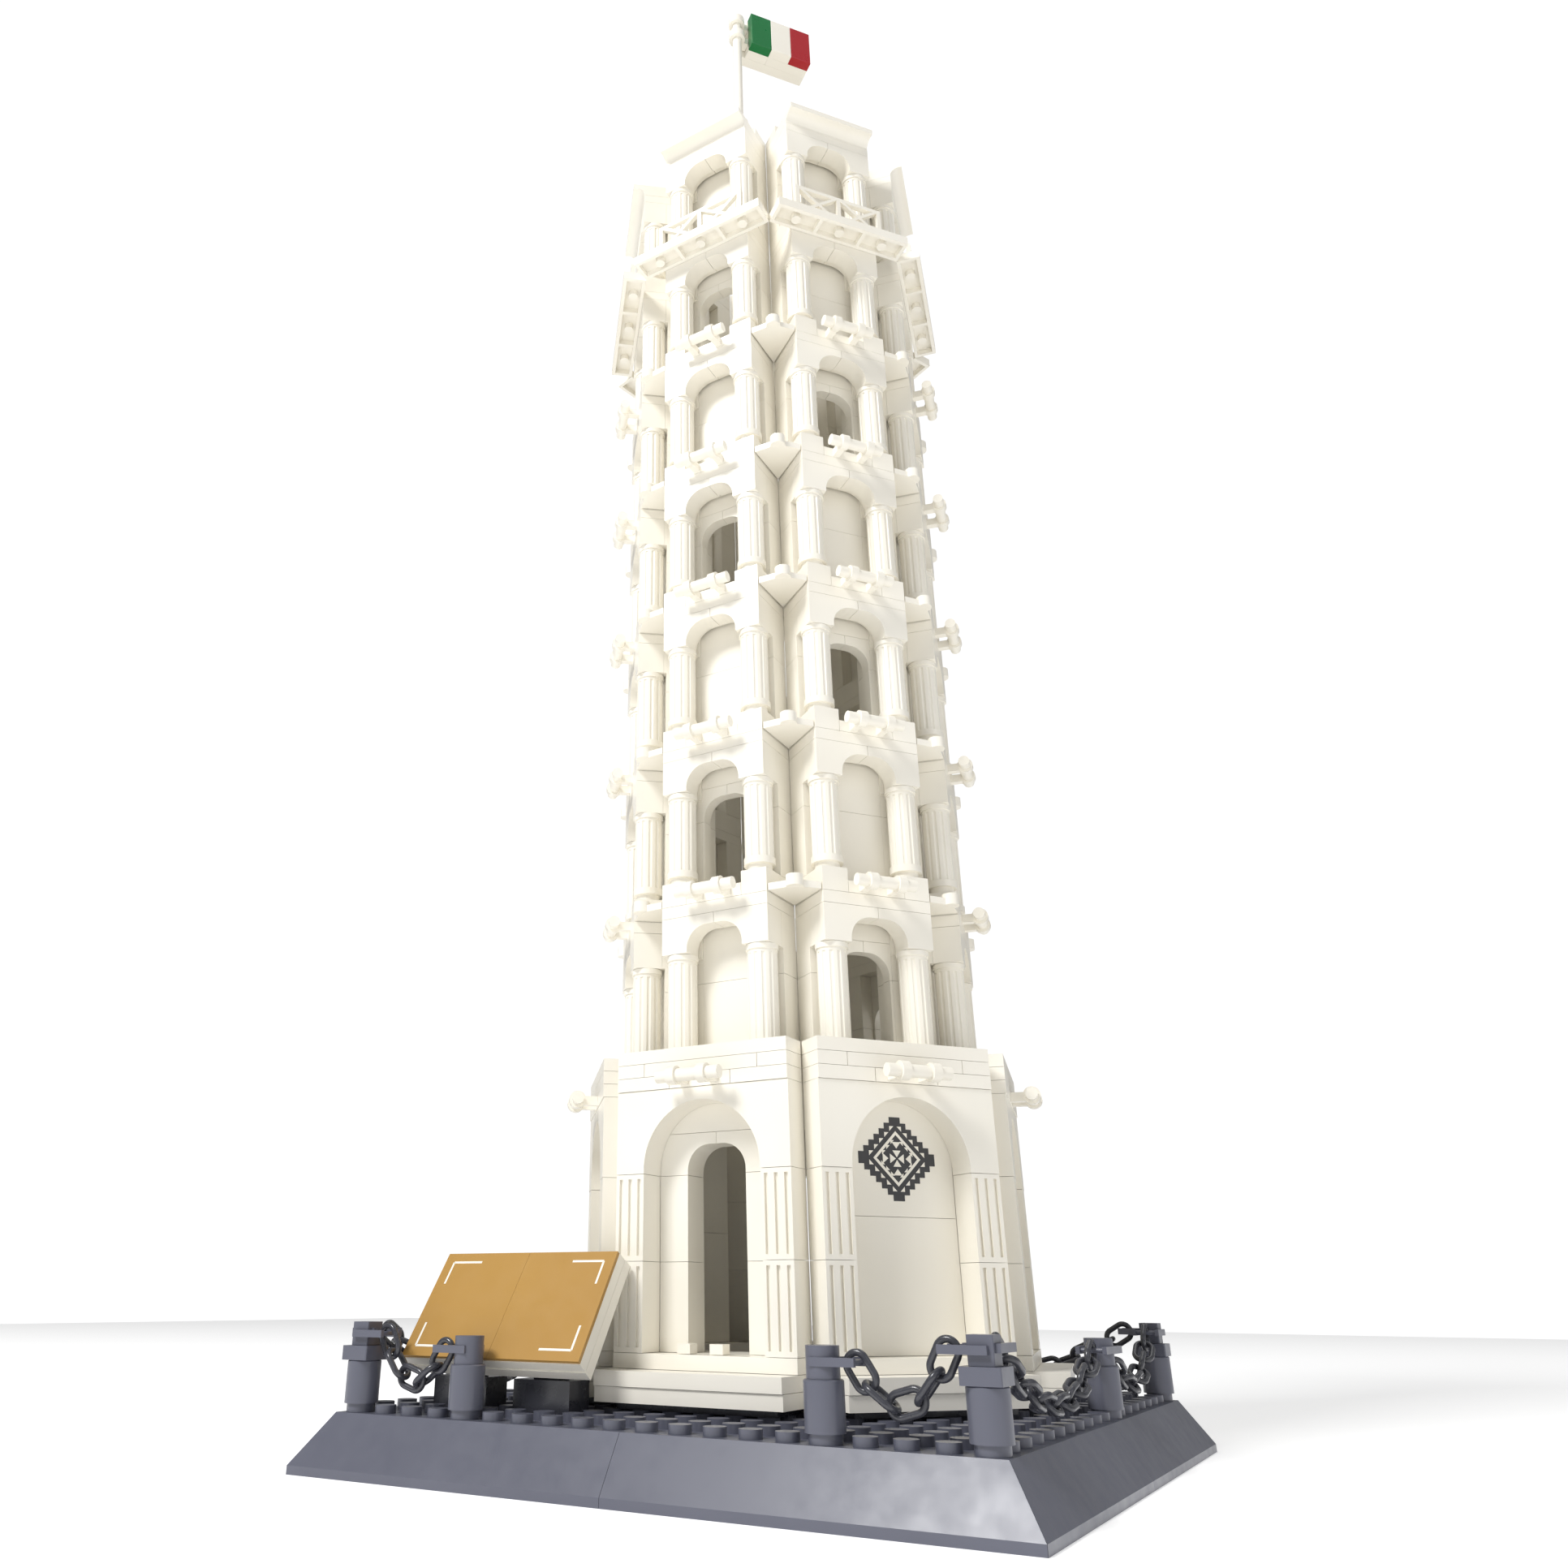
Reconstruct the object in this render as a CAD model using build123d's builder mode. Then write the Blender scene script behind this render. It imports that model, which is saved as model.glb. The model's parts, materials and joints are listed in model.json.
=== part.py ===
from build123d import *
import math
import os

os.makedirs("parts", exist_ok=True)

# ------------------------------------------------------------------ driving dimensions (mm)
P = 8.0                 # stud pitch
PLATE = 3.2             # plate course of the base
N = 20                  # studs along one side of the base
HALF = N * P / 2        # half of the studded square
SLOPE_RUN = 7.0         # how far the sloped border runs out
LIP = 1.9               # upright lip at the foot of the border
BASE_H = 12.8           # height of the studded deck above the table
STUD_R, STUD_H = 2.4, 1.8

C = 3.35                # one course (plate) of the tower
G = 0.1                 # joint between courses
BAYS = 7                # bays in the ring
TX, TY = 2.1, 8.3      # tower axis on the deck
STEP_DEG = 360 / BAYS
SIDE = 32.0             # inner side of the ring = width of an upper bay
A_IN = SIDE / 2 / math.tan(math.pi / BAYS)      # inner apothem, 33.2
D2, D1, D0 = 16.7, 24.7, 32.7    # reach of storeys, ground floor and steps from the inner side
W2, W1 = 15.97, 23.97   # half widths of upper and ground-floor pieces
Z_WALL = 4 * C          # foot of the pilasters
Z_SPRING = 16 * C       # foot of the ground-floor arches
Z_ARCH = 22 * C         # top of the ground-floor arches
PITCH = 14 * C          # storey height
LEVELS = [25 * C + i * PITCH for i in range(7)]  # floors of levels 2 to 8
COL = 8 * C             # column height
ARCH = 3 * C            # height of an arch piece
TOP = COL + ARCH        # top of an arcade above its floor
Z_GAL = 106 * C         # underside of the gallery floor
Z_COR = 121 * C         # underside of the cornice
Z_ROOF = Z_COR + 5.0    # top of the cornice

TOWER = Location((TX, TY, BASE_H))
ALL = range(BAYS)
DOOR_BAYS = [0, 2, 4, 6]
MOSAIC_BAYS = [1, 3, 5]


def bay(k, z=0.0):
    """Frame of bay k: X along the bay, -Y outwards, origin on the ring's inner side."""
    h = math.radians(STEP_DEG * k)
    return TOWER * Location((A_IN * math.sin(h), -A_IN * math.cos(h), z), (0, 0, STEP_DEG * k))


def bays(*zs, which=ALL):
    return [bay(k, z) for z in zs for k in which]


def copies(pieces, locs):
    """Located copies of one or more pieces, each kept as its own solid."""
    return [s for loc in locs for p in pieces for s in (loc * p).solids()]


def save(solids, name):
    part = Compound(children=list(solids))
    part.label = name
    export_step(part, f"parts/{name}.step")
    print(name, len(part.solids()))


def block(x0, x1, y0, y1, z0, z1, mode=Mode.ADD):
    with Locations(((x0 + x1) / 2, (y0 + y1) / 2, (z0 + z1) / 2)):
        Box(abs(x1 - x0), abs(y1 - y0), z1 - z0, mode=mode)


def flipped(part):
    return mirror(part, about=Plane.YZ)


# ------------------------------------------------------------------ base
with BuildPart() as base_plate:
    block(-HALF + 0.05, HALF - 0.05, -HALF + 0.05, HALF - 0.05, BASE_H - PLATE, BASE_H)
    with BuildSketch(Plane.XY.offset(BASE_H)):
        with GridLocations(P, P, N, N):
            Circle(STUD_R)
    extrude(amount=STUD_H)
save(base_plate.part.solids(), "base_plate")

with BuildPart() as riser:
    with BuildSketch():
        RectangleRounded(2 * P - 0.2, 2 * P - 0.2, 0.2)
        Rectangle(2 * P - 3.2, 2 * P - 3.2, mode=Mode.SUBTRACT)
    extrude(amount=BASE_H - PLATE - 0.05)
    block(-7, 7, -7, 7, BASE_H - PLATE - 1.2, BASE_H - PLATE - 0.05)
save(copies([riser.part], [Location((x, y, 0)) for x in (-72, -24, 24, 72) for y in (-72, -24, 24, 72)]), "base_riser_bricks")

OUT = HALF + SLOPE_RUN
with BuildPart() as slope:
    with BuildSketch(Plane.YZ.offset(0.05)):
        with BuildLine():
            Polyline((-HALF + 0.02, 0), (-OUT, 0), (-OUT, LIP), (-HALF + 0.02, BASE_H), (-HALF + 0.02, 0))
        make_face()
    extrude(amount=OUT + 2)
    with BuildSketch(Plane.XY.offset(-1)):
        with BuildLine():
            Polyline((HALF - 10.06, -HALF + 10), (HALF + 29.94, -HALF - 30), (HALF + 29.94, -HALF + 10), (HALF - 10.06, -HALF + 10))
        make_face()
    extrude(amount=30, mode=Mode.SUBTRACT)
turns = [Location((0, 0, 0), (0, 0, a)) for a in (0, 90, 180, 270)]
save(copies([slope.part, flipped(slope.part)], turns), "base_slope_bricks")

# ------------------------------------------------------------------ chains
WIRE = 0.7              # radius of the link wire
LINK_L, LINK_W = 8.6, 5.6
LINK_P = LINK_L - 4 * WIRE - 0.12       # pitch of two taut links
TAB_Z = BASE_H + 15.0   # chain height at the middle posts
CLIP_Z = BASE_H + 17.8  # chain height at the corner posts
PIN_OFF = 0.88          # pin centre beyond the chain's end point

with BuildPart() as link:
    s_ = (LINK_L - LINK_W) / 2
    r_ = LINK_W / 2 - WIRE
    with BuildLine() as link_path:
        Line((-s_, r_, 0), (s_, r_, 0))
        ThreePointArc((s_, r_, 0), (s_ + r_, 0, 0), (s_, -r_, 0))
        Line((s_, -r_, 0), (-s_, -r_, 0))
        ThreePointArc((-s_, -r_, 0), (-s_ - r_, 0, 0), (-s_, r_, 0))
    with BuildSketch(Plane(origin=(0, r_, 0), z_dir=(1, 0, 0))):
        Circle(WIRE)
    sweep(path=link_path.wire())
LINK = link.part


def hang(p0, p1, n):
    """Centres and directions of n links hanging between two points, in (run, height)."""
    L = math.hypot(p1[0] - p0[0], p1[1] - p0[1])
    dz = p1[2] - p0[2]

    def curve(sag):
        pts = [(L * i / 600, dz * i / 600 - 4 * sag * (i / 600) * (1 - i / 600)) for i in range(601)]
        return pts

    def walk(sag):
        """Place n equal chords along the curve; return the nodes and the miss at the end."""
        pts = curve(sag)
        nodes = [pts[0]]
        i = 1
        while len(nodes) <= n and i < len(pts):
            a = nodes[-1]
            while i < len(pts) and math.dist(a, pts[i]) < LINK_P:
                i += 1
            if i >= len(pts):
                break
            p, q = pts[i - 1], pts[i]
            lo, hi = 0.0, 1.0
            for _ in range(30):
                m = (lo + hi) / 2
                c = (p[0] + (q[0] - p[0]) * m, p[1] + (q[1] - p[1]) * m)
                if math.dist(a, c) < LINK_P:
                    lo = m
                else:
                    hi = m
            nodes.append((p[0] + (q[0] - p[0]) * lo, p[1] + (q[1] - p[1]) * lo))
        short = n + 1 - len(nodes)
        return nodes, short, math.dist(nodes[-1], pts[-1])
    lo, hi = 0.0, 40.0
    for _ in range(60):
        m = (lo + hi) / 2
        nodes, short, miss = walk(m)
        # too little sag: the last node falls before the count is reached
        if short > 0:
            lo = m
        else:
            hi = m
    nodes, short, miss = walk(hi)
    nodes = nodes[:n] + [(L, dz)]
    return nodes


POSTS = {"fl": (-76, -76), "fr": (76, -76), "br": (76, 76), "bl": (-76, 76),
         "ml": (-44, -76), "mr": (44, -76), "mright": (76, 12), "mback": (-12, 76), "mleft": (-76, 12)}
# corner post, middle post, links, distance from a post's axis to the chain's end
CHAINS = {
    "chain_front_left": ("fl", "ml", 5, 6.3),
    "chain_front_right": ("fr", "mr", 5, 6.3),
    "chain_right_near": ("fr", "mright", 14, 6.3),
    "chain_right_far": ("br", "mright", 10, 6.3),
    "chain_back_right": ("br", "mback", 14, 6.3),
    "chain_back_left": ("bl", "mback", 10, 6.3),
    "chain_left_far": ("bl", "mleft", 10, 6.3),
    "chain_left_near": ("fl", "mleft", 14, 6.3),
}
PINS = {k: [] for k in POSTS}       # (heading, pin centre) wanted at each post
for name, (a, b, n, reach) in CHAINS.items():
    A, B = POSTS[a], POSTS[b]
    h = math.atan2(B[1] - A[1], B[0] - A[0])
    u = (math.cos(h), math.sin(h))
    p0 = (A[0] + u[0] * reach, A[1] + u[1] * reach, CLIP_Z)
    p1 = (B[0] - u[0] * reach, B[1] - u[1] * reach, TAB_Z)
    nodes = hang(p0, p1, n)
    twist = 180 * round(90 * (n - 1) / 180) / (n - 1)
    solids = []
    for i, (q, r) in enumerate(zip(nodes, nodes[1:])):
        mx, mz = (q[0] + r[0]) / 2, (q[1] + r[1]) / 2
        tilt = -math.degrees(math.atan2(r[1] - q[1], r[0] - q[0]))
        loc = Location((p0[0] + u[0] * mx, p0[1] + u[1] * mx, p0[2] + mz), (0, 0, math.degrees(h)))
        loc = loc * Location((0, 0, 0), (0, tilt, 0)) * Location((0, 0, 0), (90 + twist * i, 0, 0))
        solids += (loc * LINK).solids()
    save(solids, name)
    d0 = Vector(nodes[1][0] - nodes[0][0], 0, nodes[1][1] - nodes[0][1]).normalized()
    d1 = Vector(nodes[-2][0] - nodes[-1][0], 0, nodes[-2][1] - nodes[-1][1]).normalized()
    PINS[a].append((math.degrees(h), reach + PIN_OFF * d0.X, CLIP_Z + PIN_OFF * d0.Z))
    PINS[b].append((math.degrees(h) + 180, reach - PIN_OFF * d1.X, TAB_Z + PIN_OFF * d1.Z))

# ------------------------------------------------------------------ posts
NECK = 1.9
Z_COLLAR = NECK + 9.25
with BuildPart() as post_brick:
    with BuildSketch(Plane.XY.offset(0.02)):
        Circle(3.3)
    extrude(amount=NECK)
    with BuildSketch(Plane.XY.offset(NECK)):
        Circle(3.95)
    extrude(amount=9.25)
    chamfer(post_brick.edges().filter_by(GeomType.CIRCLE).group_by(Axis.Z)[-1], 0.25)
    with BuildSketch(Plane.XY):
        Circle(STUD_R + 0.03)
    extrude(amount=STUD_H + 0.05, mode=Mode.SUBTRACT)
CORNERS = [POSTS[k] for k in ("fl", "fr", "br", "bl")]
MIDDLES = [POSTS[k] for k in ("ml", "mr", "mright", "mback", "mleft")]
save(copies([post_brick.part], [Location((x, y, BASE_H)) for x, y in CORNERS]), "corner_post_bricks")
save(copies([post_brick.part], [Location((x, y, BASE_H)) for x, y in MIDDLES]), "middle_post_bricks")
with BuildPart() as collar:
    with BuildSketch(Plane.XY.offset(Z_COLLAR + 0.03)):
        RectangleRounded(7.9, 7.9, 0.4)
    extrude(amount=PLATE - 0.05)
save(copies([collar.part], [Location((x, y, BASE_H)) for x, y in CORNERS]), "corner_post_collars")


def fork(h, run, z):
    """Two arms and a cross pin that carry a chain's end link."""
    with Locations(Location((0, 0, z - BASE_H), (0, 0, h))):
        for s in (-1, 1):
            with Locations((run / 2 + 0.9, s * 3.05, 0)):
                Box(run + 0.4, 1.0, 1.6)
        with Locations((0.8, 0, 0)):
            Box(4.6, 7.1, 1.6)
        with Locations((run, 0, 0)):
            Cylinder(0.55, 6.2, rotation=(90, 0, 0))


def post_tops(keys, corner):
    out = []
    for key in keys:
        with BuildPart() as top:
            if corner:
                with BuildSketch(Plane.XY.offset(Z_COLLAR + PLATE + 0.03)):
                    RectangleRounded(5.0, 5.0, 0.3)
                extrude(amount=5.2)
            else:
                with BuildSketch(Plane.XY.offset(Z_COLLAR + 0.03)):
                    Circle(3.3)
                extrude(amount=5.9)
            for pin in PINS[key]:
                fork(*pin)
        out += (Location((*POSTS[key], BASE_H)) * top.part).solids()
    return out


save(post_tops(("fl", "fr", "br", "bl"), True), "corner_post_clips")
save(post_tops(("ml", "mr", "mright", "mback", "mleft"), False), "middle_post_tops")

# ------------------------------------------------------------------ sign
SIGN_W, SIGN_H, SIGN_TILT = 52.0, 27.8, 33.0
SIGN = Location((-43.0, -71.0, BASE_H + 12.2), (-SIGN_TILT, 0, 0))   # local Z up the face, -Y out of it
with BuildPart() as tile:
    block(0.03, SIGN_W / 2, 0, 0.87, 0, SIGN_H)
save(copies([tile.part], [SIGN, SIGN * Location((-SIGN_W / 2 - 0.03, 0, 0))]), "sign_face_tiles")
with BuildPart() as board:
    block(-SIGN_W / 2, SIGN_W / 2, 0.9, 3.6, -0.2, SIGN_H + 0.1)
with BuildPart() as board_back:
    block(-SIGN_W / 2, SIGN_W / 2, 3.68, 2 * PLATE, -0.5, SIGN_H + 0.3)
save(copies([board.part, board_back.part], [SIGN]), "sign_backing_plates")

ca, sa = math.cos(math.radians(SIGN_TILT)), math.sin(math.radians(SIGN_TILT))
HY_L, HZ_L = 2 * PLATE + 3.2, 5.2       # hinge axis in the sign's frame
HINGE_Y = -71.0 + HY_L * ca + HZ_L * sa
HINGE_Z = BASE_H + 12.2 - HY_L * sa + HZ_L * ca
HINGE_X = -44.0
PIN_R = 1.2
hz = HINGE_Z - BASE_H
with BuildPart() as hinge_base:
    block(-7.95, 7.95, -3.95, 3.95, 0.02, hz - 3.6)
    block(-3.7, 3.7, -2.0, 2.0, hz - 3.7, hz)
    with Locations((0, 0, hz)):
        Cylinder(2.4, 7.4, rotation=(0, 90, 0))
        Cylinder(PIN_R, 15.6, rotation=(0, 90, 0))
    with BuildSketch(Plane.XY):
        for dx in (-4, 4):
            with Locations((dx, 0)):
                Rectangle(6.4, 6.6)
    extrude(amount=STUD_H + 0.1, mode=Mode.SUBTRACT)
HINGES = [Location((HINGE_X + dx, HINGE_Y, BASE_H)) for dx in (-12.0, 12.0)]
save(copies([hinge_base.part], HINGES), "sign_hinge_bases")
with BuildPart() as hinge_top:
    for s in (-1, 1):
        with Locations((s * 5.95, 0, 0)):
            Cylinder(2.4, 3.8, rotation=(0, 90, 0))
        block(*sorted((s * 4.05, s * 7.85)), -3.15, 2.4, 0.6, 5.4)
    block(-7.85, 7.85, -3.15, 1.2, 3.2, 10.5)
    Cylinder(PIN_R + 0.06, 40, rotation=(0, 90, 0), mode=Mode.SUBTRACT)
save(copies([hinge_top.part], [h * Location((0, 0, hz), (-SIGN_TILT, 0, 0)) for h in HINGES]), "sign_hinge_tops")

# ------------------------------------------------------------------ steps and plinth


def wide_and_rear(z0, z1, front, half, dx=0.0):
    """A 48 mm wide front plate and the 32 mm rear plate behind it."""
    with BuildPart() as a:
        block(-half, half, -front, -D2 - 0.03, z0, z1)
    with BuildPart() as b:
        block(-W2, W2, -D2 + 0.03, -0.1, z0, z1)
    return [a.part, b.part]


with BuildPart() as footing:
    block(-20.5, 20.5, -D0 + 4.5, -D2, STUD_H + 0.02, C - G)
with BuildPart() as footing_rear:
    block(-W2 + 0.5, W2 - 0.5, -D2 + 0.05, -0.5, STUD_H + 0.02, C - G)
with BuildPart() as footing_short:
    block(-20.5, 20.5, -D0 + P + 4.5, -D2, STUD_H + 0.02, C - G)
save(copies([footing_rear.part], bays(0)) + copies([footing.part], bays(0, which=[0, 1, 2, 5, 6]))
     + copies([footing_short.part], bays(0, which=[3, 4])), "tower_footing_plates")
FULL, SHORT = [0, 1, 2, 5, 6], [3, 4]       # the two rear bays have one stud less of step


def steps(z0, z1, proud):
    long_, short = wide_and_rear(z0, z1, D0 + proud, W1), wide_and_rear(z0, z1, D0 - P + proud, W1)
    return copies(long_, bays(0, which=FULL)) + copies(short, bays(0, which=SHORT))


save(steps(C, 2 * C - G, -0.3), "lower_step_plates")
save(steps(2 * C, 3 * C - G, 0.1), "upper_step_plates")
save(copies(wide_and_rear(3 * C, 4 * C - G, D1 + 0.05, W1), bays(0)), "plinth_plates")
with BuildPart() as sill_block:
    block(-7.6, -4.2, -D1 + 2.0, -D1 + 5.4, Z_WALL, Z_WALL + 2.2)
    block(1.0, 4.4, -D1 + 2.0, -D1 + 5.4, Z_WALL, Z_WALL + 2.2)
save(copies([sill_block.part], bays(0, which=DOOR_BAYS)), "doorstep_tiles")

# ------------------------------------------------------------------ ground floor
PIL_H = 6 * C
with BuildPart() as pilaster:
    block(0, 7.9, -7.9, 0, 0, PIL_H - G)
    for x in (1.35, 3.95, 6.55):
        with Locations((x, -7.9, PIL_H / 2)):
            Box(0.95, 1.4, PIL_H - 2.4, mode=Mode.SUBTRACT)
pil = [b * Location((x, -D2 - 0.04, Z_WALL + i * PIL_H)) for x in (16.07, -23.97) for i in (0, 1) for b in bays(0)]
save(copies([pilaster.part], pil), "ground_pilasters")

with BuildPart() as ground_arch:
    with BuildSketch(Plane.XZ.offset(D2 + 0.1)):
        with BuildLine():
            Polyline((16.0, 0), (W1, 0), (W1, 6 * C - G), (-W1, 6 * C - G), (-W1, 0), (-16.0, 0))
            ThreePointArc((-16.0, 0), (0, 16.9), (16.0, 0))
        make_face()
    extrude(amount=7.95)
save(copies([ground_arch.part], bays(Z_SPRING)), "ground_arches")

Y0, Y1 = -D2, -D2 + 7.9         # recessed wall
with BuildPart() as door_leg_low:
    block(8.1, W2, Y0, Y1, Z_WALL, 10 * C - G)
with BuildPart() as door_leg_high:
    block(8.1, W2, Y0, Y1, 10 * C, 16 * C - G)
Q = math.sqrt(0.5)
with BuildPart() as door_head:
    with BuildSketch(Plane.XZ.offset(-Y1)):
        with BuildLine():
            Polyline((8.1, 16 * C), (W2, 16 * C), (W2, 19 * C - G), (0.05, 19 * C - G), (0.05, 16 * C + 7.2), (1.9, 16 * C + 7.2))
            ThreePointArc((1.9, 16 * C + 7.2), (1.9 + 6.2 * Q, 16 * C + 1 + 6.2 * Q), (8.1, 16 * C + 1))
            Line((8.1, 16 * C + 1), (8.1, 16 * C))
        make_face()
    extrude(amount=7.9)
with BuildPart() as door_top:
    block(-W2, W2, Y0, Y1, 19 * C, 22 * C - G)
legs = [door_leg_low.part, door_leg_high.part, door_head.part]
save(copies(legs + [flipped(p) for p in legs] + [door_top.part], bays(0, which=DOOR_BAYS)), "door_walls")

# stepped diamond let into the wall
MZ = 17 * C             # middle of the diamond
ROWS = [(10.5 - 1.5 * i, i) for i in range(7)]
ROW_H = 1.4
with BuildPart() as diamond:
    for half, i in ROWS:
        for s in (-1, 1):
            zc = MZ + s * (i + 0.5) * ROW_H
            block(-half, half, Y0 - 0.1, Y0 + 0.5, zc - ROW_H / 2, zc + ROW_H / 2)
with BuildPart() as diamond_seat:
    for half, i in ROWS:
        for s in (-1, 1):
            zc = MZ + s * (i + 0.5) * ROW_H
            block(-half - 0.03, half + 0.03, Y0 - 0.1, Y0 + 0.53, zc - ROW_H / 2 - 0.03, zc + ROW_H / 2 + 0.03)
with BuildPart() as mosaic_low:
    block(-W2, W2, Y0, Y1, Z_WALL, 13 * C - G)
with BuildPart() as mosaic_high:
    block(-W2, W2, Y0, Y1, 13 * C, 22 * C - G)
    with Locations((0.6, 0, 0)):
        add(diamond_seat.part, mode=Mode.SUBTRACT)
save(copies([mosaic_low.part, mosaic_high.part], bays(0, which=MOSAIC_BAYS)), "mosaic_walls")
save(copies([diamond.part], [b * Location((0.6, 0, 0)) for b in bays(0, which=MOSAIC_BAYS)]), "mosaic_diamonds")

band = []
for i, cuts in enumerate(((-24, -8.6, 8.6, 24), (-24, -16.0, 16.0, 24), (-24, 24))):
    for a, b in zip(cuts, cuts[1:]):
        with BuildPart() as strip:
            block(a + 0.08, b - 0.08, -D1 - 0.3, -D2 - 0.1, (22 + i) * C, (23 + i) * C - G)
        band.append(strip.part)
save(copies(band, bays(0)), "band_course_plates")
with BuildPart() as deck_low:
    block(-W2, W2, -D2, -0.1, 22 * C, 25 * C - G)
save(copies([deck_low.part], bays(0)), "ground_deck_bricks")

# ------------------------------------------------------------------ upper storeys


def column(neck):
    with BuildPart() as col:
        z0 = 1.8 if neck else 0.0
        with BuildSketch(Plane.XY):
            Circle(3.4)
        extrude(amount=2.0)
        with BuildSketch(Plane.XY.offset(z0)):
            Circle(4.3)
        extrude(amount=1.9)
        with BuildSketch(Plane.XY.offset(z0 + 1.9)):
            Circle(3.95)
            with PolarLocations(4.25, 12):
                Circle(0.62, mode=Mode.SUBTRACT)
        extrude(amount=COL - z0 - 1.9 - 2.4)
        with BuildSketch(Plane.XY.offset(COL - 2.4)):
            Circle(3.95)
        extrude(amount=0.9)
        with BuildSketch(Plane.XY.offset(COL - 1.5)):
            Circle(4.3)
        extrude(amount=1.5 - G)
    return col.part


COL_A, COL_B = column(False), column(True)
CY = -D2 + 4.35
GROUPS = {"levels_2_3": (0, 1), "levels_4_5": (2, 3), "levels_6_7": (4, 5), "level_8": (6,)}
with BuildPart() as half_arch:
    with BuildSketch(Plane.XZ.offset(D2 - 5.9)):
        with BuildLine():
            Polyline((8.3, 0), (W2, 0), (W2, ARCH - G), (0.06, ARCH - G), (0.06, 7.1), (2.2, 7.1))
            ThreePointArc((2.2, 7.1), (2.2 + 6.1 * Q, 1.0 + 6.1 * Q), (8.3, 1.0))
            Line((8.3, 1.0), (8.3, 0))
        make_face()
    extrude(amount=5.9)
    with BuildSketch(Plane.XZ.offset(D2 - 8.0)):
        with BuildLine():
            Polyline((8.3, 0), (W2, 0), (W2, ARCH - G), (0.06, ARCH - G), (0.06, 8.2), (2.4, 8.2))
            ThreePointArc((2.4, 8.2), (3.6 + 5.4 * Q, 2.2 + 5.6 * Q), (9.2, 2.2))
            Polyline((9.2, 2.2), (9.2, 0), (8.3, 0))
        make_face()
    extrude(amount=2.1)
for g, levels in GROUPS.items():
    cols = []
    for i in levels:
        cols += copies([COL_B if i else COL_A], [b * Location((x, CY, 0)) for x in (-12, 12) for b in bays(LEVELS[i])])
    save(cols, f"columns_{g}")
    save(copies([half_arch.part, flipped(half_arch.part)], bays(*[LEVELS[i] + COL for i in levels])), f"arches_{g}")

# side walls behind the columns, two bricks high, and the wall bricks above them
YB = -D2 + 8.85
with BuildPart() as jamb_low:
    block(8.2, W2, YB, -0.04, 0, 6 * C - G)
with BuildPart() as jamb_high:
    block(8.2, W2, YB, -0.04, 6 * C, 11 * C - G)
    block(8.2, W2, -D2 + 8.05, YB, 8 * C, 11 * C - G)
jambs = [jamb_low.part, jamb_high.part]
save(copies(jambs + [flipped(p) for p in jambs], bays(*LEVELS)), "side_wall_bricks")

# inner walls: plain ones and windowed ones alternate from storey to storey
with BuildPart() as plain_low:
    block(-8.15, 8.15, YB, YB + 3.5, 0, 6 * C - G)
with BuildPart() as plain_high:
    block(-8.15, 8.15, YB, YB + 3.5, 6 * C, 11 * C - G)
with BuildPart() as window_head:
    with BuildSketch(Plane.XZ.offset(-YB - 3.5)):
        with BuildLine():
            Polyline((7.4, 6 * C), (8.15, 6 * C), (8.15, 9 * C - G), (0.05, 9 * C - G), (0.05, 6 * C + 6.9), (1.6, 6 * C + 6.9))
            ThreePointArc((1.6, 6 * C + 6.9), (1.6 + 5.8 * Q, 6 * C + 1.1 + 5.8 * Q), (7.4, 6 * C + 1.1))
            Line((7.4, 6 * C + 1.1), (7.4, 6 * C))
        make_face()
    extrude(amount=3.5)
with BuildPart() as window_jamb:
    block(7.4, 8.15, YB, YB + 3.5, 0, 6 * C - G)
with BuildPart() as window_top:
    block(-8.15, 8.15, YB, YB + 3.5, 9 * C, 11 * C - G)
plain, window = [], []
for i, z in enumerate(LEVELS):
    for k in ALL:
        has_window = i < 6 and (i % 2 == 1 if k in DOOR_BAYS else i % 2 == 0)
        (window if has_window else plain).append(bay(k, z))
save(copies([plain_low.part, plain_high.part], plain), "plain_inner_walls")
heads = [window_head.part, window_jamb.part]
save(copies(heads + [flipped(p) for p in heads] + [window_top.part], window), "window_inner_walls")

# courses that join one storey to the next
with BuildPart() as sill:
    block(-W2, W2, -D2, -0.1, 11 * C, 12 * C - G)
save(copies([sill.part], bays(*LEVELS)), "sill_plates")
with BuildPart() as pedestal:
    block(8.45, W2, -D2, -D2 + 8.3, 12 * C, 14 * C - G)
save(copies([pedestal.part, flipped(pedestal.part)], bays(*LEVELS[:5])), "column_pedestals")
with BuildPart() as deck:
    block(-W2, W2, -D2 + 8.35, -0.1, 12 * C, 14 * C - G)
save(copies([deck.part], bays(*LEVELS[:5])), "storey_deck_bricks")


def bar(face):
    """Bar held on two arms in front of a face, with a ring at each arm."""
    for x in (-4.2, 4.2):
        block(x - 1.1, x + 1.1, face - 4.6, face + 0.5, 0.5, 2.9)
    with Locations((0, face - 5.0, 2.0)):
        Cylinder(1.6, 17.4, rotation=(0, 90, 0))
    for x in (-4.2, 4.2):
        with Locations((x, face - 5.0, 2.0)):
            Cylinder(2.3, 2.3, rotation=(0, 90, 0))


with BuildPart() as handle:
    block(-8.35, 8.35, -D2, -D2 + 8.3, 0, C - G)
    bar(-D2)
with BuildPart() as low_handle:
    bar(-D1 - 0.3 - 0.52)
save(copies([handle.part], bays(*[z + 12 * C for z in LEVELS[:5]])) + copies([low_handle.part], bays(22 * C)), "bar_handles")

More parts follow.
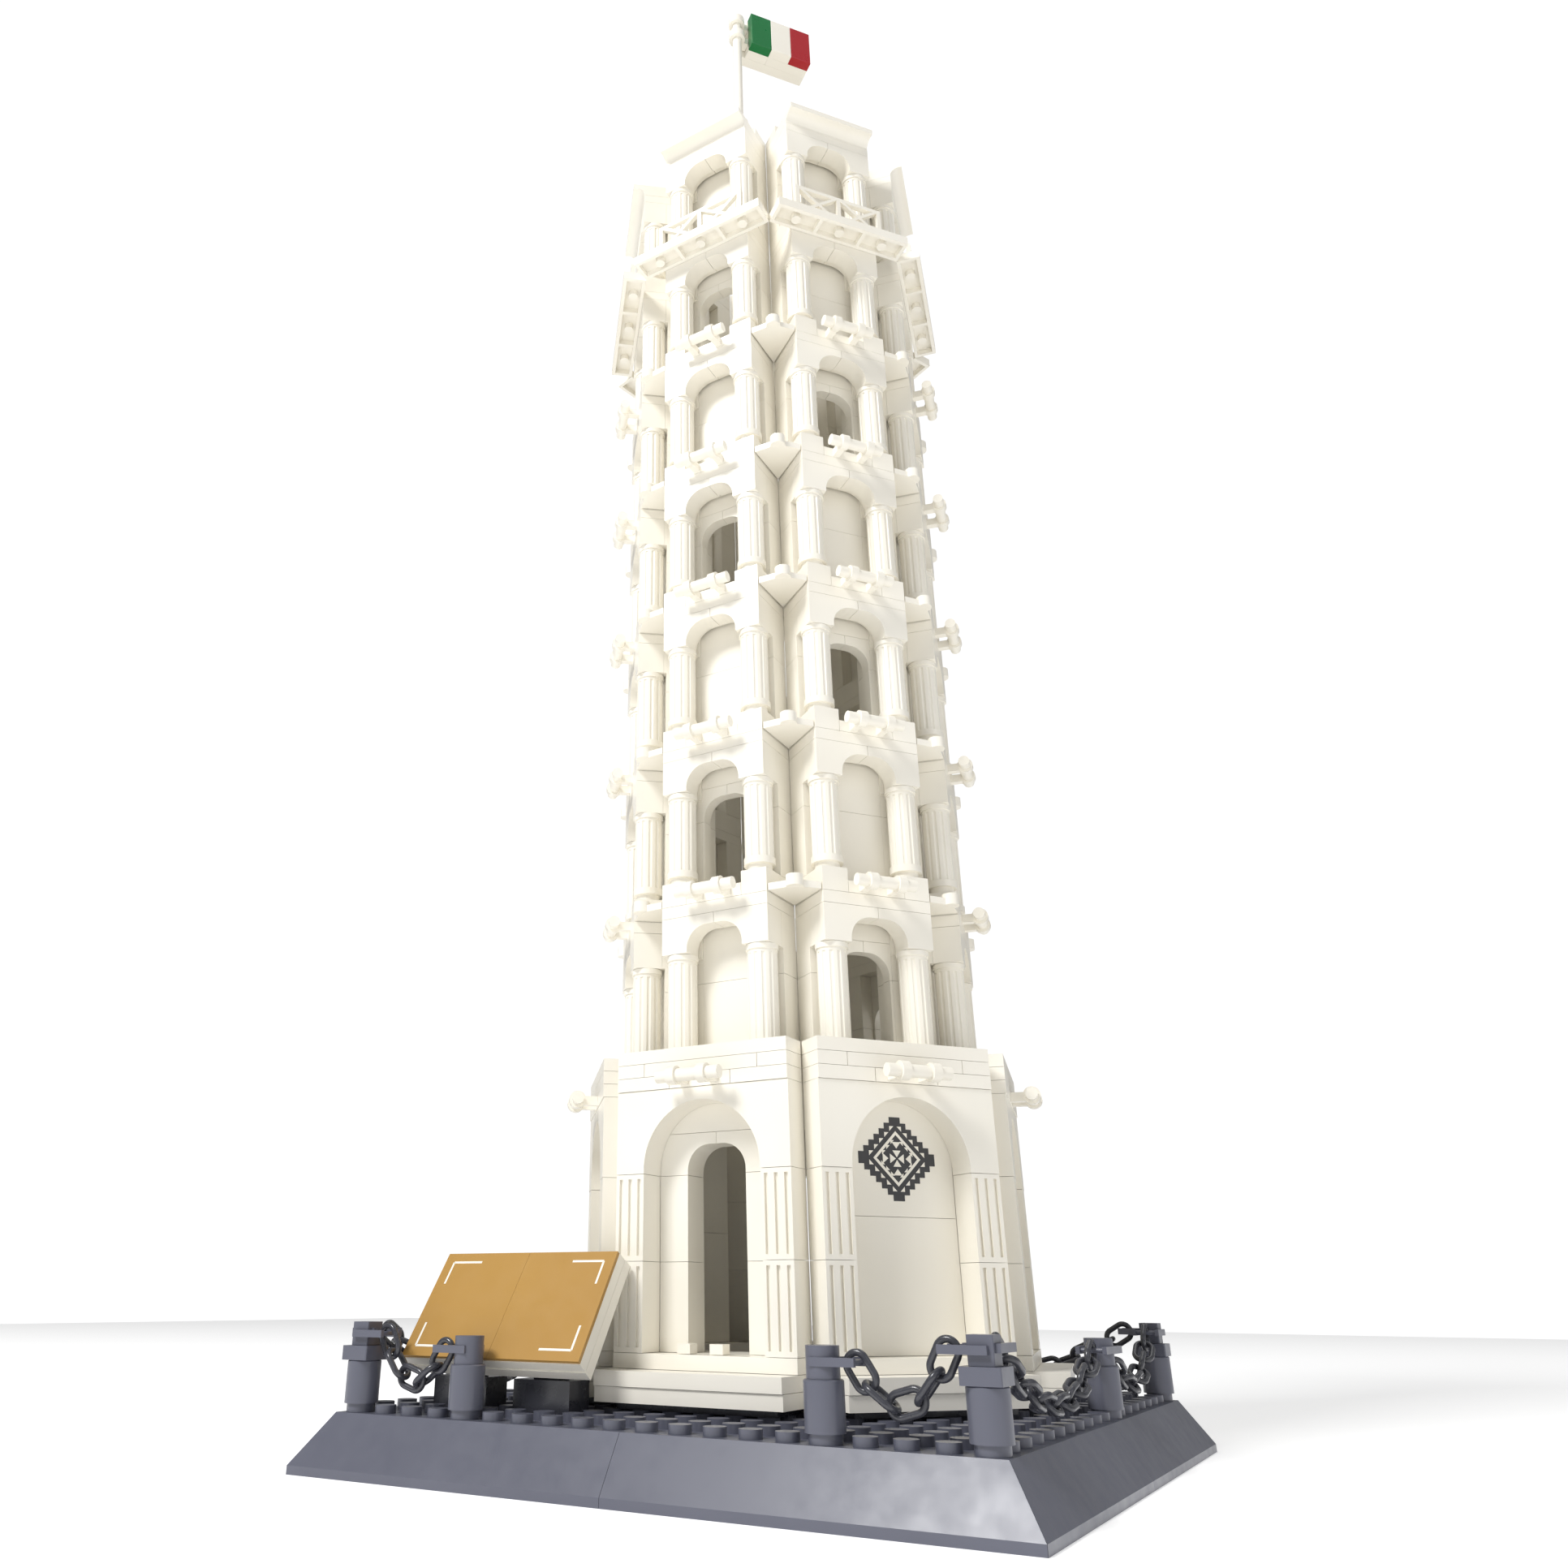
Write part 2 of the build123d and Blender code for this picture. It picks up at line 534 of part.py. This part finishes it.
# locked hinge plates in the wedge between neighbouring bays
HB = math.radians(STEP_DEG / 2)
RV = A_IN / math.cos(HB)
R_K = 16.9                      # knuckle beyond the inner corner of the ring
corner_d = D2 * math.sin(HB)    # half opening at the front corners
with BuildPart() as corner_plate:
    with BuildSketch(Plane.XY):
        with BuildLine():
            e = D2 * math.cos(HB)
            Polyline((0, -1.0), (corner_d - 0.35, -e), (2.4, -R_K), (-2.4, -R_K), (-corner_d + 0.35, -e), (0, -1.0))
        make_face()
    extrude(amount=1.9)
    with Locations((0, -R_K - 0.2, 1.6)):
        Cylinder(2.3, 3.1)
corners = []
for z in LEVELS[:5]:
    for k in ALL:
        h = math.radians(STEP_DEG * (k + 0.5))
        corners.append(TOWER * Location((RV * math.sin(h), -RV * math.cos(h), z + 12 * C + 0.05), (0, 0, STEP_DEG * (k + 0.5))))
save(copies([corner_plate.part], corners), "corner_hinge_plates")

# ------------------------------------------------------------------ gallery
with BuildPart() as gal_floor:
    block(-W1, W1, -D1 + 0.2, -D2 - 0.05, Z_GAL, Z_GAL + C - G)
    for x0, x1 in ((-22.8, -8.6), (-7.4, 7.4), (8.6, 22.8)):
        block(x0, x1, -D1 + 1.4, -D2 - 1.2, Z_GAL - 0.1, Z_GAL + 2.0, mode=Mode.SUBTRACT)
    for x in (-16, 0, 16):
        with Locations((x, (-D1 - D2) / 2 + 0.3, Z_GAL + 1.2)):
            Cylinder(1.6, 2.4)
save(copies([gal_floor.part], bays(0)), "gallery_floor_plates")
with BuildPart() as upper_floor:
    block(-W2, W2, -D2, -0.1, Z_GAL + C, LEVELS[6] - G)
save(copies([upper_floor.part], bays(0)), "upper_floor_plates")

FH, FT, FY = 12.0, 1.5, D1 - 3.4
with BuildPart() as fence:
    with BuildSketch(Plane.XZ.offset(FY - FT)):
        for z in (0.7, FH - 0.7):
            with Locations((0, z)):
                Rectangle(32, 1.4)
        for x in (-15.3, 0, 15.3):
            with Locations((x, FH / 2)):
                Rectangle(1.4, FH)
        for cx in (-7.65, 7.65):
            for s in (-1, 1):
                with Locations(Location((cx, FH / 2, 0), (0, 0, s * 37.5))):
                    Rectangle(17.0, 1.1)
    extrude(amount=FT)
save(copies([fence.part], bays(Z_GAL + C)), "gallery_fences")

with BuildPart() as cornice:
    with BuildSketch(Plane.YZ.offset(-W2)):
        with BuildLine():
            Polyline((-0.1, 0), (-D2, 0), (-D2, 0.7))
            ThreePointArc((-D2, 0.7), (-D2 - 1.2, 2.3), (-D2 - 3.6, 2.9))
            Polyline((-D2 - 3.6, 2.9), (-D2 - 4.2, 2.9), (-D2 - 4.2, 5.0 - G), (-0.1, 5.0 - G), (-0.1, 0))
        make_face()
    extrude(amount=2 * W2)
save(copies([cornice.part], bays(Z_COR)), "roof_cornices")
with BuildPart() as roof_plate:
    block(-W2, W2, -D2 + 8.5, -0.1, 0, C - G)
save(copies([roof_plate.part], bays(Z_ROOF)), "roof_plates")

# ------------------------------------------------------------------ flag
POLE_R = 1.6
POLE_H = 58.0
FOOT = bay(0, Z_ROOF) * Location((12.0, -12.7, 0))
with BuildPart() as pole:
    with BuildSketch(Plane.XY):
        Circle(3.3)
    extrude(amount=2.4)
    with BuildSketch(Plane.XY.offset(2.4)):
        Circle(POLE_R)
    extrude(amount=POLE_H - 2.4)
    chamfer(pole.edges().group_by(Axis.Z)[-1], 0.4)
save(copies([pole.part], [FOOT]), "flagpole")
FLAG_TURN = STEP_DEG
FLAG_Z = POLE_H + 1.4            # top of the flag above the roof
FLAG = FOOT * Location((0, 0, FLAG_Z - 16.0), (0, 0, FLAG_TURN))
S0, NF = 4.6, 3.2               # first tile from the pole axis, front face before the pole axis
for i, colour in enumerate(("green", "white", "red")):
    with BuildPart() as flag_tile:
        block(S0 + 8 * i + 0.03, S0 + 8 * (i + 1) - 0.03, -NF, 0, 0, 16)
        chamfer(flag_tile.faces().sort_by(Axis.Y)[0].edges(), 0.12)
    save(copies([flag_tile.part], [FLAG]), f"flag_tile_{colour}")
with BuildPart() as flag_front:
    block(S0, S0 + 8 - 0.03, 0.03, PLATE, 0, 16)
with BuildPart() as flag_front2:
    block(S0 + 8.03, S0 + 24, 0.03, PLATE, 0, 16)
with BuildPart() as flag_back:
    block(S0 - 1.4, S0 + 24, PLATE + 0.03, 2 * PLATE, 0, 16)
save(copies([flag_front.part, flag_front2.part, flag_back.part], [FLAG]), "flag_plates")
with BuildPart() as clip:
    with BuildSketch(Plane.XY):
        Circle(2.9)
        with Locations((2.6, 1.5)):
            Rectangle(3.8, 2.9)
        Circle(POLE_R + 0.05, mode=Mode.SUBTRACT)
    extrude(amount=3.0)
save(copies([clip.part], [FLAG * Location((0, 0, 3.0)), FLAG * Location((0, 0, 10.5))]), "flag_clips")
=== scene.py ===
import json
import math

import bmesh
import bpy
from mathutils import Matrix, Vector


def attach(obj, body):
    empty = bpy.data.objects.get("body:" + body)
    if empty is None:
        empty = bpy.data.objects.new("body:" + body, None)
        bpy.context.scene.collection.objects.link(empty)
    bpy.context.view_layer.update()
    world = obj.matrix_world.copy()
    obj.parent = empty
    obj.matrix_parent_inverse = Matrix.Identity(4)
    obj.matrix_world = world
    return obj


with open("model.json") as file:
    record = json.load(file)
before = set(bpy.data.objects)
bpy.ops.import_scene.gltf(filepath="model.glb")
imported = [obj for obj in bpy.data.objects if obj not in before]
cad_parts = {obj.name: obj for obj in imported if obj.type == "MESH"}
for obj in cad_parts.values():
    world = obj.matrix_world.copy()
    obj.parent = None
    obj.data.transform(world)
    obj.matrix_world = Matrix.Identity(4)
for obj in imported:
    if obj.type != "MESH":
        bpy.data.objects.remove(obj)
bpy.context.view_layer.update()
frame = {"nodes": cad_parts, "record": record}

MM = 0.001


def srgb(r, g, b):
    """sRGB 0-255 to linear."""
    out = []
    for v in (r, g, b):
        v /= 255
        out.append(v / 12.92 if v <= 0.04045 else ((v + 0.055) / 1.055) ** 2.4)
    return (*out, 1.0)


# ------------------------------------------------------------------ materials
def plastic(name, light, dark, rough, spread, coat=0.0, sss=0.0, bump=0.02, scale=220.0):
    """Moulded plastic: colour and gloss drift slightly, and the surface is faintly wavy."""
    m = bpy.data.materials.new(name)
    m.use_nodes = True
    nt = m.node_tree
    bsdf = nt.nodes["Principled BSDF"]
    tc = nt.nodes.new("ShaderNodeTexCoord")
    broad = nt.nodes.new("ShaderNodeTexNoise")
    broad.inputs["Scale"].default_value = 28.0
    broad.inputs["Detail"].default_value = 2.0
    fine = nt.nodes.new("ShaderNodeTexNoise")
    fine.inputs["Scale"].default_value = scale
    fine.inputs["Detail"].default_value = 3.0
    nt.links.new(tc.outputs["Object"], broad.inputs["Vector"])
    nt.links.new(tc.outputs["Object"], fine.inputs["Vector"])
    ramp = nt.nodes.new("ShaderNodeValToRGB")
    ramp.color_ramp.elements[0].position = 0.3
    ramp.color_ramp.elements[0].color = dark
    ramp.color_ramp.elements[1].position = 0.7
    ramp.color_ramp.elements[1].color = light
    nt.links.new(broad.outputs["Fac"], ramp.inputs["Fac"])
    nt.links.new(ramp.outputs["Color"], bsdf.inputs["Base Color"])
    mr = nt.nodes.new("ShaderNodeMapRange")
    mr.inputs["From Min"].default_value = 0.3
    mr.inputs["From Max"].default_value = 0.7
    mr.inputs["To Min"].default_value = rough - spread
    mr.inputs["To Max"].default_value = rough + spread
    nt.links.new(fine.outputs["Fac"], mr.inputs["Value"])
    nt.links.new(mr.outputs["Result"], bsdf.inputs["Roughness"])
    bp = nt.nodes.new("ShaderNodeBump")
    bp.inputs["Strength"].default_value = bump
    bp.inputs["Distance"].default_value = 0.0003
    nt.links.new(fine.outputs["Fac"], bp.inputs["Height"])
    nt.links.new(bp.outputs["Normal"], bsdf.inputs["Normal"])
    bsdf.inputs["IOR"].default_value = 1.52
    bsdf.inputs["Coat Weight"].default_value = coat
    bsdf.inputs["Coat Roughness"].default_value = 0.12
    return m


MATS = {
    "ivory": plastic("ivory", srgb(250, 246, 235), srgb(246, 241, 228), 0.34, 0.05, coat=0.10),
    "grey": plastic("grey", srgb(97, 99, 112), srgb(91, 93, 106), 0.36, 0.05, coat=0.10),
    "dark_grey": plastic("dark_grey", srgb(62, 63, 70), srgb(56, 57, 64), 0.28, 0.05, coat=0.25),
    "tan_gold": plastic("tan_gold", srgb(182, 140, 70), srgb(176, 134, 65), 0.34, 0.04, coat=0.10),
    "green": plastic("green", srgb(10, 118, 60), srgb(8, 110, 54), 0.3, 0.04, coat=0.15),
    "red": plastic("red", srgb(176, 20, 34), srgb(166, 16, 30), 0.3, 0.04, coat=0.15),
    "charcoal": plastic("charcoal", srgb(66, 66, 68), srgb(58, 58, 60), 0.4, 0.04),
}
SLOT = {s["node"]: s["material_slot"] for s in frame["record"]["subparts"]}
CURVED = ("base_plate", "chain_", "columns_", "bar_handles", "corner_post", "middle_post", "flagpole",
          "flag_clips", "corner_hinge", "sign_hinge", "arches_", "ground_arches", "door_walls",
          "window_inner", "roof_cornices", "gallery_floor")
for name, obj in frame["nodes"].items():
    obj.data.materials.clear()
    obj.data.materials.append(MATS[SLOT[name]])
    if name.startswith("chain_"):
        continue
    bev = obj.modifiers.new("edge", "BEVEL")
    bev.width = 0.0002 if not name.startswith("base_slope") else 0.0003
    bev.segments = 2
    bev.limit_method = "ANGLE"
    bev.angle_limit = math.radians(38)
    bev.harden_normals = True


# ------------------------------------------------------------------ printed details, as thin inlays
def mesh_object(name, quads, slot_name, body):
    """Thin prisms. Each entry is (list of 3-D corners, offset vector)."""
    bm = bmesh.new()
    for corners, off in quads:
        low = [bm.verts.new(c) for c in corners]
        high = [bm.verts.new(Vector(c) + off) for c in corners]
        bm.faces.new(low[::-1])
        bm.faces.new(high)
        n = len(corners)
        for i in range(n):
            bm.faces.new((low[i], low[(i + 1) % n], high[(i + 1) % n], high[i]))
    bmesh.ops.recalc_face_normals(bm, faces=bm.faces)
    me = bpy.data.meshes.new(name)
    bm.to_mesh(me)
    bm.free()
    ob = bpy.data.objects.new(name, me)
    bpy.context.scene.collection.objects.link(ob)
    ob.data.materials.append(MATS[slot_name])
    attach(ob, body)
    return ob


BAYS = 7
STEP = 2 * math.pi / BAYS
A_IN = 16.0 / math.tan(math.pi / BAYS)
TX, TY, DECK = 2.1, 8.3, 12.8
C = 3.35


def bay_point(k, x, y, z):
    """Point of bay k (mm: x along the bay, y inwards, z above the deck) in metres."""
    h = STEP * k
    ox, oy = A_IN * math.sin(h), -A_IN * math.cos(h)
    return Vector(((TX + ox + x * math.cos(h) - y * math.sin(h)) * MM,
                   (TY + oy + x * math.sin(h) + y * math.cos(h)) * MM,
                   (DECK + z) * MM))


FACE_Y = -16.7 - 0.1
MX, MZ = 0.6, 17 * C
for k in (1, 3, 5):
    off = bay_point(k, 0, -0.08, 0) - bay_point(k, 0, 0, 0)
    shapes = []

    def tri(a, b, c):
        shapes.append(([bay_point(k, MX + x, FACE_Y, MZ + z) for x, z in (a, b, c)], off))

    # a light band and rings of small triangles inside the dark diamond
    for q in range(4):
        ca, sa = round(math.cos(q * math.pi / 2)), round(math.sin(q * math.pi / 2))

        def r(x, z):
            return (x * ca - z * sa, x * sa + z * ca)
        tri(r(0.3, 0.0), r(1.9, 1.1), r(1.9, -1.1))
        tri(r(2.4, 0.0), r(3.9, 1.2), r(3.9, -1.2))
        for i in range(3):
            u = 0.9 + i * 1.25
            tri(r(u, 4.9 - u), r(u + 0.95, 4.9 - u), r(u + 0.95, 3.95 - u))
        shapes.append(([bay_point(k, MX + x, FACE_Y, MZ + z) for x, z in
                        (r(5.6, 0), r(6.5, 0), r(0, 6.5), r(0, 5.6))], off))
        for i in range(5):
            u = 0.5 + i * 1.5
            tri(r(u, 8.1 - u), r(u + 1.15, 8.1 - u), r(u + 1.15, 6.95 - u))
    mesh_object(f"mosaic_print_{k}", shapes, "ivory", "tower")

# corner brackets printed on the sign
TILT = math.radians(33.0)
FOOT = Vector((-43.0, -71.0, DECK + 12.2))
UP = Vector((0, math.sin(TILT), math.cos(TILT)))
OUT = Vector((0, -math.cos(TILT), math.sin(TILT)))
SX, SZ = 26.0, 27.8


def sign_rect(x0, x1, z0, z1):
    pts = [FOOT + Vector((x, 0, 0)) + UP * z + OUT * -0.02 for x, z in ((x0, z0), (x1, z0), (x1, z1), (x0, z1))]
    return ([p * MM for p in pts], OUT * 0.07 * MM)


W = 0.28
lines = []
for sx in (-1, 1):
    for top in (0, 1):
        ex = sx * (SX - 3.0)
        ez = SZ - 2.6 if top else 2.6
        x0, x1 = sorted((ex, ex - sx * 9.0))
        lines.append(sign_rect(x0, x1, ez - W, ez + W))
        z0, z1 = sorted((ez, ez + (-6.0 if top else 6.0)))
        lines.append(sign_rect(ex - W, ex + W, z0, z1))
mesh_object("sign_border_print", lines, "ivory", "sign")

# ------------------------------------------------------------------ floor, light, camera
bpy.ops.mesh.primitive_plane_add(size=3, location=(0, 0, -0.00002))
floor = bpy.context.object
floor.name = "floor"
fm = bpy.data.materials.new("floor")
fm.use_nodes = True
fb = fm.node_tree.nodes["Principled BSDF"]
fb.inputs["Base Color"].default_value = (0.92, 0.92, 0.92, 1)
fb.inputs["Roughness"].default_value = 0.8
fb.inputs["Specular IOR Level"].default_value = 0.1
fb.inputs["Emission Color"].default_value = (1, 1, 1, 1)
fb.inputs["Emission Strength"].default_value = 0.4
floor.data.materials.append(fm)

world = bpy.data.worlds.new("studio")
world.use_nodes = True
world.node_tree.nodes["Background"].inputs["Color"].default_value = (1, 1, 1, 1)
wt = world.node_tree
wt.nodes["Background"].inputs["Strength"].default_value = 0.3
seen = wt.nodes.new("ShaderNodeBackground")
seen.inputs["Color"].default_value = (1, 1, 1, 1)
seen.inputs["Strength"].default_value = 1.05
path = wt.nodes.new("ShaderNodeLightPath")
mix = wt.nodes.new("ShaderNodeMixShader")
wt.links.new(path.outputs["Is Camera Ray"], mix.inputs[0])
wt.links.new(wt.nodes["Background"].outputs[0], mix.inputs[1])
wt.links.new(seen.outputs[0], mix.inputs[2])
wt.links.new(mix.outputs[0], wt.nodes["World Output"].inputs["Surface"])
bpy.context.scene.world = world
bpy.context.scene.view_settings.view_transform = "Standard"


def area(name, loc, target, size, power):
    d = bpy.data.lights.new(name, "AREA")
    d.shape = "SQUARE"
    d.size = size
    d.energy = power
    o = bpy.data.objects.new(name, d)
    o.location = loc
    o.rotation_euler = (Vector(target) - Vector(loc)).to_track_quat("-Z", "Y").to_euler()
    bpy.context.scene.collection.objects.link(o)
    return o


area("key", (-0.35, -1.1, 1.25), (0, 0, 0.2), 0.45, 20)
area("fill", (1.2, -0.4, 0.7), (0, 0, 0.2), 0.9, 2)
area("top", (0.1, 0.5, 1.5), (0, 0, 0.2), 0.9, 3)

F, PPX, PPY = 1478.48, -153.28, 23.03
cam = bpy.data.cameras.new("camera")
cam.sensor_width = 36
cam.sensor_fit = "HORIZONTAL"
cam.lens = F / 1932 * 36
cam.shift_x = -PPX / 1932
cam.shift_y = PPY / 1932
cam.clip_start = 0.01
cam.clip_end = 50
co = bpy.data.objects.new("camera", cam)
co.location = (0.15025, -0.31059, 0.02551 + DECK * MM)
yaw, pitch, roll = math.radians(31.56), math.radians(22.39), math.radians(0.38)
co.rotation_mode = "XYZ"
base = Matrix.Rotation(yaw, 4, "Z") @ Matrix.Rotation(math.pi / 2 + pitch, 4, "X") @ Matrix.Rotation(roll, 4, "Z")
co.matrix_world = Matrix.Translation(co.location) @ base
bpy.context.scene.collection.objects.link(co)
bpy.context.scene.camera = co
